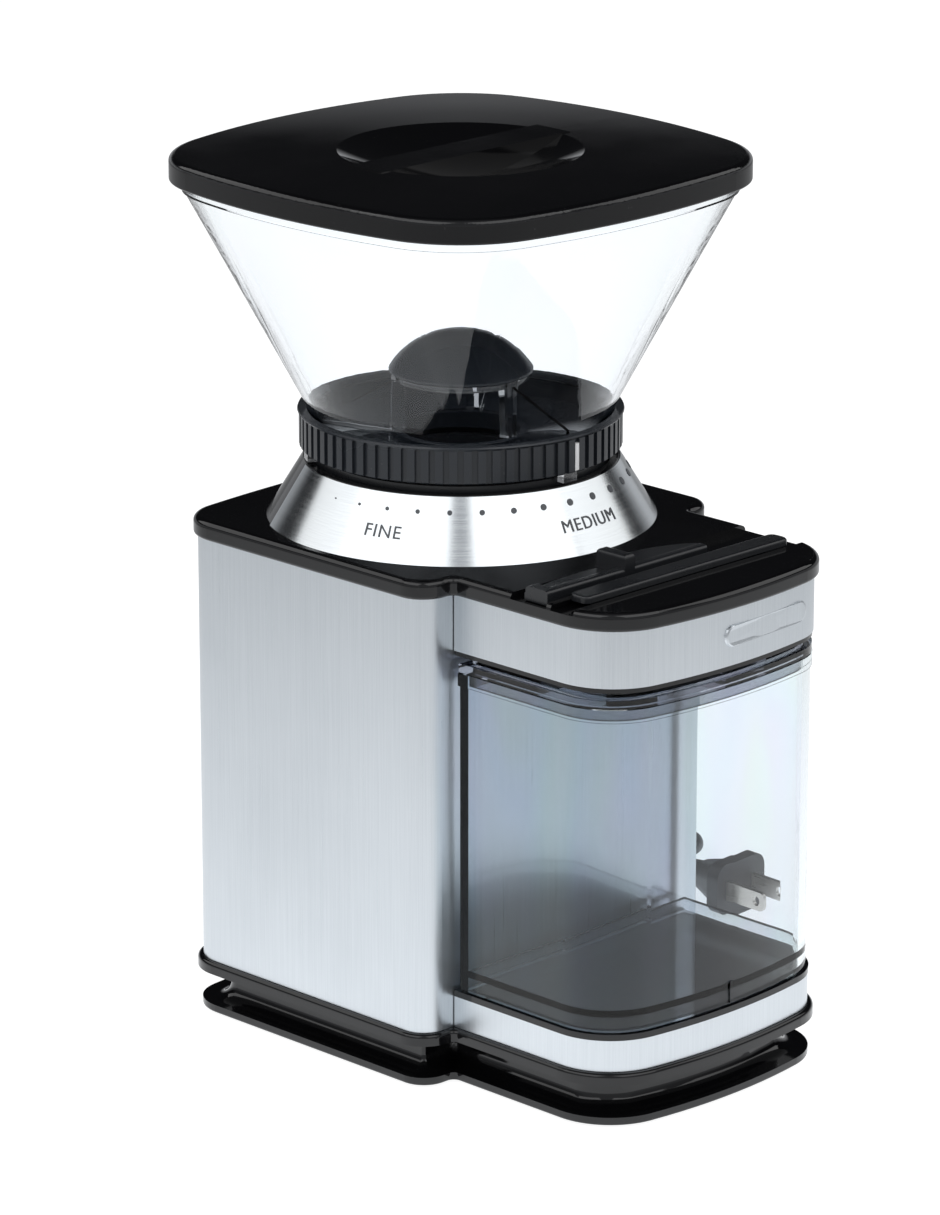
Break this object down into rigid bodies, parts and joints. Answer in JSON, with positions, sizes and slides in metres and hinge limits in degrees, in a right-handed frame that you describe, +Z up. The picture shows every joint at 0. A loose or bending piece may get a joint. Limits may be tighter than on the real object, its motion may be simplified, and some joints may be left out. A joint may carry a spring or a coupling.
{
  "type": "burr coffee grinder",
  "caption": "Steel-wrapped burr coffee grinder with a clear flared bean hopper, a turning ribbed dial, a removable clear grounds chamber, a timer slide and a start button.",
  "frame": {"origin": "on the floor, under the middle of the grinder's box without its mains lead", "axes": "+Z up, the grounds chamber slides out along -Y, +X to the right seen from the front"},
  "size_m": [0.239, 0.2699, 0.2741],
  "materials": {
    "black_gloss": "polished black moulding",
    "black_satin": "satin black moulding",
    "black_rubber": "soft black",
    "brushed_steel": "brushed stainless sheet",
    "plain_steel": "machined steel",
    "bronze": "machined",
    "clear_hopper": "clear moulded plastic",
    "smoky_clear": "lightly smoked clear plastic",
    "smoky_dark": "dark smoked clear plastic",
    "white_mark": "white print",
    "board_green": "circuit board"
  },
  "bodies": {
    "housing": {"base_tray": "black_gloss", "bottom_cover": "black_satin", "rubber_feet": "black_rubber", "cover_screws": "plain_steel", "rear_steel_wrap": "brushed_steel", "body_liner": "black_satin", "chamber_tray": "black_gloss", "base_steel_band": "brushed_steel", "head_steel_band": "brushed_steel", "head_housing": "black_gloss", "top_deck": "black_gloss", "dial_cone": "black_gloss", "cone_steel_trim": "brushed_steel", "start_switch": "black_satin", "button_spring": "plain_steel", "timer_pot": "black_satin", "control_board": "board_green", "burr_housing": "black_satin", "grounds_chute": "black_satin", "gearbox_base": "black_satin", "gearbox_cover": "black_satin", "gearbox_screws": "plain_steel", "spindle_bushings": "bronze", "motor_can": "plain_steel", "motor_magnets": "plain_steel", "motor_screws": "plain_steel", "strain_relief": "black_satin", "cord_lead": "black_rubber", "cord_tail": "black_rubber", "cord_coil": "black_rubber", "plug_body": "black_satin", "plug_blades": "bronze", "wire_loom": "black_rubber"},
    "motor_rotor": {"rotor_shaft": "plain_steel", "armature": "plain_steel", "cooling_fan": "black_satin", "motor_pinion": "bronze"},
    "spindle": {"burr_spindle": "plain_steel", "drive_gear": "bronze", "sweep_disc": "black_satin", "lower_burr": "plain_steel", "burr_nut": "plain_steel"},
    "dial": {"dial_carrier": "black_satin", "upper_burr": "plain_steel", "burr_screws": "plain_steel"},
    "hopper": {"adjust_ring": "black_satin", "ring_pointer": "white_mark", "bayonet_lugs": "clear_hopper", "hopper_bowl": "clear_hopper", "guard_cage": "clear_hopper", "dome_guard": "black_gloss"},
    "lid": {"hopper_lid": "black_gloss", "lid_seal": "black_rubber"},
    "chamber": {"grounds_chamber": "smoky_clear", "chamber_lid": "smoky_dark"},
    "slide": {"timer_slide": "black_satin"},
    "button": {"start_button": "black_satin"}
  },
  "joints": [
    {"name": "burr_spin", "type": "hinge", "parent": "housing", "child": "spindle", "pos_m": [0, 0.02025, 0.12], "axis": [0, 0, 1], "continuous": true},
    {"name": "motor_spin", "type": "hinge", "parent": "housing", "child": "motor_rotor", "pos_m": [0, 0.04425, 0.08], "axis": [0, 0, 1], "continuous": true},
    {"name": "dial_turn", "type": "hinge", "parent": "housing", "child": "dial", "pos_m": [0, 0.02025, 0.17], "axis": [0, 0, 1], "range_deg": [-90, 90]},
    {"name": "hopper_lift", "type": "slide", "parent": "dial", "child": "hopper", "axis": [0, 0, 1], "range_m": [0, 0.06]},
    {"name": "lid_lift", "type": "slide", "parent": "hopper", "child": "lid", "axis": [0, 0, 1], "range_m": [0, 0.05]},
    {"name": "chamber_slide", "type": "slide", "parent": "housing", "child": "chamber", "axis": [0, -1, 0], "range_m": [0, 0.12]},
    {"name": "timer_travel", "type": "slide", "parent": "housing", "child": "slide", "axis": [1, 0, 0], "range_m": [0, 0.028]},
    {"name": "start_press", "type": "slide", "parent": "housing", "child": "button", "axis": [0, 0, -1], "range_m": [0, 0.0016], "stiffness_N_per_m": 500, "deforming": ["button_spring"]}
  ],
  "couplings": [
    {"joint": "motor_spin", "follows": "burr_spin", "ratio": -3}
  ]
}
